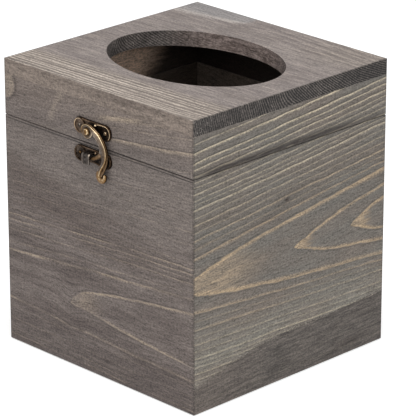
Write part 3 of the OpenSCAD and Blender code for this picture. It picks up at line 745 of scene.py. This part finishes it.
def plate(skin, y, lobe_wear_and_reflection, ring_wear_and_highlight, lobe_painted_sheen, hoop_wear_and_highlight):
    """A plate of two round lobes and a slightly narrower neck. Its outline is a slot's, whose half
    height dips at the neck as a squared cosine; its dark side leans in by a quarter circle. A ring
    of bead lies round the left nail, and a hoop, which starts in a ball, round the right one. By a
    logistic curve across the plate the left lobe is lighter and greyer: wear, a painted reflection
    and painted sheen. The beads carry painted highlights."""
    run = PLATE_W / 2 - PLATE_R
    line = np.linspace(-run, run, 60)
    neck = np.cos(line / run * math.pi / 2) ** 2
    turn = np.radians(np.linspace(-90, 90, 40))[1:-1]
    cos, sin = np.cos(turn), np.sin(turn)
    x, edge_y, out_x, out_y = np.vstack([
        np.stack([line, -PLATE_R + 1.2 * neck, 0 * line, -1 + 0 * line], -1),
        np.stack([run + PLATE_R * cos, PLATE_R * sin, cos, sin], -1),
        np.stack([line, PLATE_R - 0.2 * neck, 0 * line, 1 + 0 * line], -1)[::-1],
        np.stack([-run - PLATE_R * cos, -PLATE_R * sin, -cos, -sin], -1)]).T[:, None]
    # From the flat face, over the eased edge and down the side to the wood
    ease = np.radians(np.linspace(90, 0, 7))
    inset = np.concatenate([[2.2, 1.3], 0.45 - 0.45 * np.cos(ease), [0.0]])[:, None]
    height = np.concatenate([
        [PLATE_T - 0.15, PLATE_T - 0.1], PLATE_T * 0.5 + 0.55 * np.sin(ease), [0.02]])[:, None]
    shine = np.array([0.0, 0.04, 0.3, 0.22, 0.12, 0.06, 0.02, 0.0, 0.0, 0.0])[:, None]
    flat = np.array([1, 1, 0.8, 0.6, 0.3, 0.1, 0, 0, 0, 0])[:, None]
    rings = np.stack([x - inset * out_x, y + edge_y - inset * out_y, height + 0 * x], -1)
    # The left lobe's wear, painted reflection and painted sheen, by a logistic curve
    lobe = 1 / (1 + np.exp(x * 0.9))
    skin.add(rings, shine + lobe * lobe_wear_and_reflection * 0.26 * flat, lobe_painted_sheen * (0.4 + lobe) * flat)
    reach, first, last = PLATE_R - 0.65, 12, 345
    ring = arc((-run, y), reach, first, last, PLATE_T)
    # The ring's painted highlight, brightest at one angle round the ring
    highlight_angle = 2.4
    ring_highlight = 0.62 + 0.3 * np.cos(np.radians(np.linspace(first, last, 40)) - highlight_angle)
    bead(skin, ring, radius=0.5, wear=ring_highlight * ring_wear_and_highlight, bloom=0.2, outer=1)
    start = [(2.7, y + 2.75, PLATE_T + 0.1), (3.6, y + 3.35, PLATE_T), (5.2, y + 3.85, PLATE_T),
             (7.2, y + reach, PLATE_T)]
    hoop = smooth(np.vstack([start, arc((run, y), reach, 90, -58, PLATE_T, 20)]), 3)
    thick = np.interp(np.linspace(0, 1, len(hoop)), (0, 0.3, 1), (0.5, 0.5, 0.42))
    bead(skin, hoop, thick, hoop_wear_and_highlight, bloom=0.05, outer=-1)
    # The ball's wear carries a painted glint
    rings, wear = turned(start[0], PLATE_T + 0.15, BALL, 24)
    skin.add(rings, wear * max(hoop_wear_and_highlight, 0.6), 0.1)


def nails(skin, y, wear, bloom):
    """A plate's two nails: low domes of a circle's arc, with a punched middle. A painted highlight,
    a bell over the angle round the nail, lights one side of its rim. The right nail has the more
    wear, and the left one the more painted sheen."""
    glint = np.exp(-((np.linspace(0, math.tau, 32, endpoint=False) - 0.9) / 0.6) ** 2)
    for side in (-1, 1):
        rings, level = turned((side * NAIL_X, y), PLATE_T, NAIL_HEAD, 32)
        # Wear, and a painted highlight on one side of the rim
        level = level * (wear * (1 + 0.5 * side) + 0.6 * glint)
        skin.add(rings, level, bloom * (1 - 0.5 * side) / 1.5)


def nose(skin):
    """The catch's nose: a strip bent out and down along a path, with eased edges. Its half width
    shrinks as a quarter circle over the last stretch before its lip. Its rims and its lip show
    wear, and a bell along its right edge at the upper bend is a painted glint."""
    middle, half, thick, corner, before_arm = -2.2, 2.95, 0.45, 1.0, 1.475
    top, lip, face = -4.3, -10.6, ARM_EDGE + before_arm - thick
    up_out = [
        (top - 0.45, 0.3), (top - 0.45, 1.6), (top - 0.45, 2.9), (top - 0.55, face - 0.5),
        (top - 0.9, face - 0.14), (top - 1.5, face), (top - 2.3, face), (top - 4.0, face),
        (lip + 1.8, face), (lip + 0.9, face), (lip + 0.4, face), (lip + 0.15, face), (lip, face)]
    path = smooth(up_out, 4)
    way, run = lengthways(path)
    width = half - corner + corner * rounded(run[-1] - run, corner)
    section = np.array([
        (-1, -0.55), (-1, 0.45), (-0.975, 0.8), (-0.92, 1), (-0.74, 0.96), (-0.6, 0.9), (0, 0.86),
        (0.6, 0.9), (0.74, 0.96), (0.92, 1), (0.975, 0.8), (1, 0.45), (1, -0.55), (0.96, -0.92),
        (0.9, -1), (0, -1), (-0.9, -1), (-0.96, -0.92)])
    across, off = section[:, 0], section[:, 1]
    outward = np.stack([way[:, 1], -way[:, 0]], -1)
    rings = np.stack([middle + width[:, None] * across,
                      path[:, :1] + outward[:, :1] * off * thick,
                      path[:, 1:] + outward[:, 1:] * off * thick], -1)
    rim = np.array([0, 0.1, 0.25, 0.34, 0.24, 0, 0, 0, 0.06, 0.24, 0.26, 0.04, 0, 0, 0, 0, 0, 0])
    lit = np.clip(1 - (run[-1] - run) / 0.7, 0, 1)[:, None] * 0.15
    upper_bend = run[15]
    # A painted glint on the right edge at the upper bend
    bend = np.exp(-((run - upper_bend) / 0.45) ** 2)[:, None] * (across > 0.7) * 0.9
    skin.add(rings, 0.1 + rim + lit + bend, 0.85)


# For crested(): rows of a path and of a section, the underside's places and heights, and the
# strengths of the crest's painted highlight
ARM_PATH = [
    (-3.3, -1.2, 0.35, 1.2, 0.2), (-3.7, 0.5, 0.35, 1.3, 0.6), (-3.3, 2, 0.35, 1.3, 0.85),
    (-2.4, 3.1, 0.35, 1.35, 1), (-1, 3.95, 0.35, 1.4, 1), (0.85, 4.4, 0.35, 1.6, 1),
    (2.85, 4.1, 0.35, 2.2, 1), (4.9, 3.25, 0.35, 3.1, 1), (6.95, 2.3, 0.35, 4, 1),
    (9, 1.2, 0.35, 4.2, 1), (11.1, -0.5, 0.35, 4.4, 1), (13, -2.7, 0.35, 4.7, 1),
    (14.4, -4.7, 0.35, 5.2, 1), (15.3, -6.56, 0.35, 5.7, 1), (15.78, -8.56, 0.4, 6.1, 1),
    (15.78, -10.61, 0.6, 5.9, 1), (15.32, -12.6, 1, 4.7, 1), (14.45, -14.4, 1.6, 3.2, 0.9),
    (13.25, -16.1, 2.1, 2.3, 0.85), (12, -17.8, 2.4, 1.9, 0.85), (11, -19.5, 2.4, 1.9, 0.85),
    (10.3, -21.2, 2.1, 2, 0.8), (9.95, -22.6, 1.8, 2.2, 0.7)]
ARM_SECTION = [
    (1, -0.4, 0.1, 0), (0.96, 0.05, 0.42, 0.2), (0.8, 0.28, 0.5, 0.3), (0.6, 0.32, 0.35, 0.1),
    (0.42, 0.34, 0.16, 0), (0.26, 0.55, 0.2, 0), (0.13, 0.86, 0.6, 0), (0.02, 1, 1, 0),
    (-0.06, 0.98, 1, 0), (-0.13, 0.86, 0.7, 0.05), (-0.22, 0.66, 0.46, 0.2),
    (-0.42, 0.4, 0.38, 0.4), (-0.66, 0.2, 0.34, 0.6), (-0.86, 0.1, 0.32, 0.7),
    (-0.93, 0.14, 0.52, 0.75), (-0.97, 0.08, 0.7, 0.7), (-1, -0.25, 0.3, 0.3)]
CURL_PATH = [
    (9.9, -20.3, 1, 1, 0.2), (9.05, -21.7, 1.9, 1.7, 0.6), (8.95, -23.3, 1.95, 1.8, 0.9),
    (9.65, -24.7, 1.95, 1.8, 1), (11, -25.3, 1.8, 1.6, 1), (12.5, -25.05, 1.6, 1.4, 1),
    (13.65, -24, 1.35, 1.25, 1), (14.05, -22.7, 1.15, 1.1, 0.9), (13.8, -21.8, 0.85, 0.85, 0.7),
    (13.6, -21.35, 0.3, 0.3, 0.2)]
CURL_SECTION = [
    (1, -0.6, 0.1, 0), (0.96, 0, 0.3, 0), (0.84, 0.35, 0.5, 0), (0.6, 0.62, 0.68, 0.1),
    (0.25, 0.8, 0.75, 0.1), (-0.1, 0.82, 0.62, 0.15), (-0.5, 0.66, 0.6, 0.1),
    (-0.8, 0.42, 0.5, 0), (-0.95, 0.1, 0.25, 0), (-1, -0.5, 0.1, 0)]
UNDERSIDE = np.array([
    (-1, 0.5), (-0.96, 0.15), (-0.85, 0), (0, 0), (0.85, 0), (0.96, 0.15), (1, 0.5)])
ARM_SHINE = (0.5, 0.65, 0.78, 1, 1.25, 1.25, 0.98, 0.75, 0.66, 0.62, 0.62, 0.66, 0.7)
CURL_SHINE = (0.6, 0.78, 0.76, 0.86, 1.1)


def crested(skin, table, section, shine):
    """A crested ribbon of metal: a section carried along the crest's curve. Each row of the table
    holds the crest's place across and up from the pivot, the width outside and inside the crest,
    and the crest's rise. Each row of the section holds a place between the inner edge, -1, and the
    outer one, 1, a height as a share of the rise, the wear with the crest's painted highlight, and
    the painted sheen. shine is a factor of the wear at even steps along the ribbon, which makes the
    crest's painted highlight stronger in places."""
    path = smooth(table, 10)
    section = smooth(section, 3)
    way, run = lengthways(path[:, :2])
    side = np.stack([-way[:, 1], way[:, 0]], -1)
    place = np.concatenate([section[:, 0], UNDERSIDE[:, 0]])
    off = np.where(place > 0, place * path[:, 2:3], place * path[:, 3:4])
    height = np.hstack([ARM_EDGE + CREST * path[:, 4:5] * section[:, 1],
                        ARM_BASE + 0.25 + UNDERSIDE[:, 1] + 0 * path[:, :1]])
    rings = np.stack([PIVOT[0] + path[:, :1] + off * side[:, :1],
                      PIVOT[1] + path[:, 1:2] + off * side[:, 1:], height], -1)
    shine = np.interp(run / run[-1], np.linspace(0, 1, len(shine)), shine)[:, None]
    back = np.zeros((len(path), len(UNDERSIDE)))
    skin.add(rings, np.hstack([section[:, 2] * shine, back + 0.1]),
             np.hstack([section[:, 3] + 0 * shine, back]))


def tooth(skin):
    """The tooth: a stretch of a ring about the pivot, whose half height tapers from root to tip and
    ends as half a circle. Its section is a box whose edges are eased by powers of the sine."""
    angle = np.radians(np.linspace(7.0, 46, 50))
    share = (angle - angle[0]) / (angle[-1] - angle[0])
    length, tip = 10.4, 1.0
    half = (1.0 + 0.55 * share) * rounded(share * length, tip)
    turn = np.linspace(0, math.tau, 28, endpoint=False)
    sin, waist = np.sin(turn), 0.6
    rise = np.where(sin > 0, (ARM_EDGE + 0.2 - ARM_BASE - waist) * np.abs(sin) ** 0.7,
                    -waist * np.abs(sin) ** 0.5)
    radius = TOOTH_R + half[:, None] * np.cos(turn)
    rings = np.stack([PIVOT[0] + radius * np.sin(angle)[:, None],
                      PIVOT[1] - radius * np.cos(angle)[:, None],
                      ARM_BASE + waist + rise + 0 * radius], -1)
    crown = np.exp(-((sin - 1) / 0.22) ** 2) * 0.25 + 0.06 * (sin > 0.3) + 0.03
    skin.add(rings, crown, 0.12)


def latch():
    """The two plates with their nails, the arm and its rivet. The arm is a bow and a thumb curl,
    both crested, a tooth, an eye with a collar under it, and a floor in the curl; the eye, collar,
    floor and rivet are turned."""
    lid_plate, catch_plate, lid_nails, catch_nails, arm, rivet = (Skin() for _ in range(6))
    plate(lid_plate, LID_PLATE_Y, lobe_wear_and_reflection=0.75, ring_wear_and_highlight=0.8, lobe_painted_sheen=0.2, hoop_wear_and_highlight=1.2)
    plate(catch_plate, CATCH_PLATE_Y, lobe_wear_and_reflection=0.3, ring_wear_and_highlight=0.15, lobe_painted_sheen=0.25,
          hoop_wear_and_highlight=0.12)
    nose(catch_plate)
    nails(lid_nails, LID_PLATE_Y, wear=0.3, bloom=0.7)
    nails(catch_nails, CATCH_PLATE_Y, wear=0.1, bloom=0.1)
    crested(arm, ARM_PATH, ARM_SECTION, ARM_SHINE)
    crested(arm, CURL_PATH, CURL_SECTION, CURL_SHINE)
    tooth(arm)
    arm.add(*turned(PIVOT, ARM_BASE, EYE, 64), 0.5)
    arm.add(*turned(PIVOT, 0.0, COLLAR, 32))
    arm.add(*turned(PIVOT + np.array((11.0, -23.1, 0)), 0.0, CURL_FLOOR))
    rivet.add(*turned(PIVOT, RIVET_BASE, RIVET, 40), 0.05)
    lid_plate.piece("lid_plate_beaded", "lid_plate", BRONZE_PLATE, "dark_bronze", "lid")
    lid_nails.piece("lid_plate_nail_heads", "lid_plate_nails", BRONZE_ARM, "worn_bronze", "lid")
    catch_plate.piece("catch_plate_with_nose", "catch_plate", BRONZE_PLATE, "dark_bronze", "box")
    catch_nails.piece("catch_plate_nail_heads", "catch_plate_nails", BRONZE_ARM, "worn_bronze",
                      "box")
    arm.piece("latch_arm_crested", "latch_arm", BRONZE_ARM, "worn_bronze", "latch_arm")
    rivet.piece("latch_rivet_domed", "latch_rivet", BRONZE_ARM, "worn_bronze", "lid")


latch()


# Stage, in metres and watts

CAMERA_AT, CAMERA_DOWN, CAMERA_TURN = (1.121, -1.097, 0.681), 20.995, 45.37
SENSOR_MM, LENS_MM = 36.0, 259.4
GROUND_REACH = 3.0
SKY = 0.55  # the light from the sky, which looks pure white all the same
LAMPS = (("key", (0.25, -0.25, 1.3), 0.9, 11.0), ("fill", (1.3, -0.5, 0.55), 0.8, 1.5))
LAMPS_AIM = (0, 0, 0.1)


def in_view(tree):
    """1 for rays that show the background: from the camera, in gloss and through glass."""
    ray = tree.node("ShaderNodeLightPath", None, None, "Is Camera Ray")
    return tree.most(ray, tree.most(ray.also("Is Glossy Ray"), ray.also("Is Transmission Ray")))


def stage():
    """Camera at the photograph's place, a white ground, two soft lamps and an even sky."""
    scene = bpy.context.scene
    scene.view_settings.view_transform = "Standard"
    lens = bpy.data.cameras.new("camera")
    lens.sensor_width, lens.lens = SENSOR_MM, LENS_MM
    lens.clip_start, lens.clip_end = 0.05, 20.0
    camera = bpy.data.objects.new("camera", lens)
    camera.location = CAMERA_AT
    camera.rotation_euler = Euler((math.radians(90 - CAMERA_DOWN), 0, math.radians(CAMERA_TURN)))
    scene.collection.objects.link(camera)
    scene.camera = camera

    ground = bpy.data.meshes.new("ground")
    square = (-1, -1), (1, -1), (1, 1), (-1, 1)
    corners = [(x * GROUND_REACH, y * GROUND_REACH, 0) for x, y in square]
    ground.from_pydata(corners, [], [(0, 1, 2, 3)])
    floor = bpy.data.objects.new("ground", ground)
    scene.collection.objects.link(floor)

    white = Finish(bpy.data.materials.new("white_ground"))
    matt = white.node("ShaderNodeBsdfDiffuse", None, {"Color": (0.8, 0.8, 0.8, 1)})
    glow = {"Color": (1, 1, 1, 1), "Strength": in_view(white) * 0.45}
    glow = white.node("ShaderNodeEmission", None, glow)
    ground.materials.append(white.end(white.node("ShaderNodeAddShader", None, {0: matt, 1: glow})))

    scene.world = bpy.data.worlds.new("studio")
    sky = Finish(scene.world)
    light = {"Color": (1, 1, 1, 1), "Strength": in_view(sky) * (1 - SKY) + SKY}
    sky.end(sky.node("ShaderNodeBackground", None, light), "ShaderNodeOutputWorld")

    for name, place, size, power in LAMPS:
        lamp = bpy.data.lights.new(name, "AREA")
        lamp.shape, lamp.size, lamp.energy = "DISK", size, power
        made = bpy.data.objects.new(name, lamp)
        made.location = place
        x, y, z = np.array(LAMPS_AIM) - np.array(place)
        tilt, turn = math.atan2(math.hypot(x, y), -z), math.atan2(y, x) - math.pi / 2
        made.rotation_euler = Euler((tilt, 0, turn))
        scene.collection.objects.link(made)


stage()
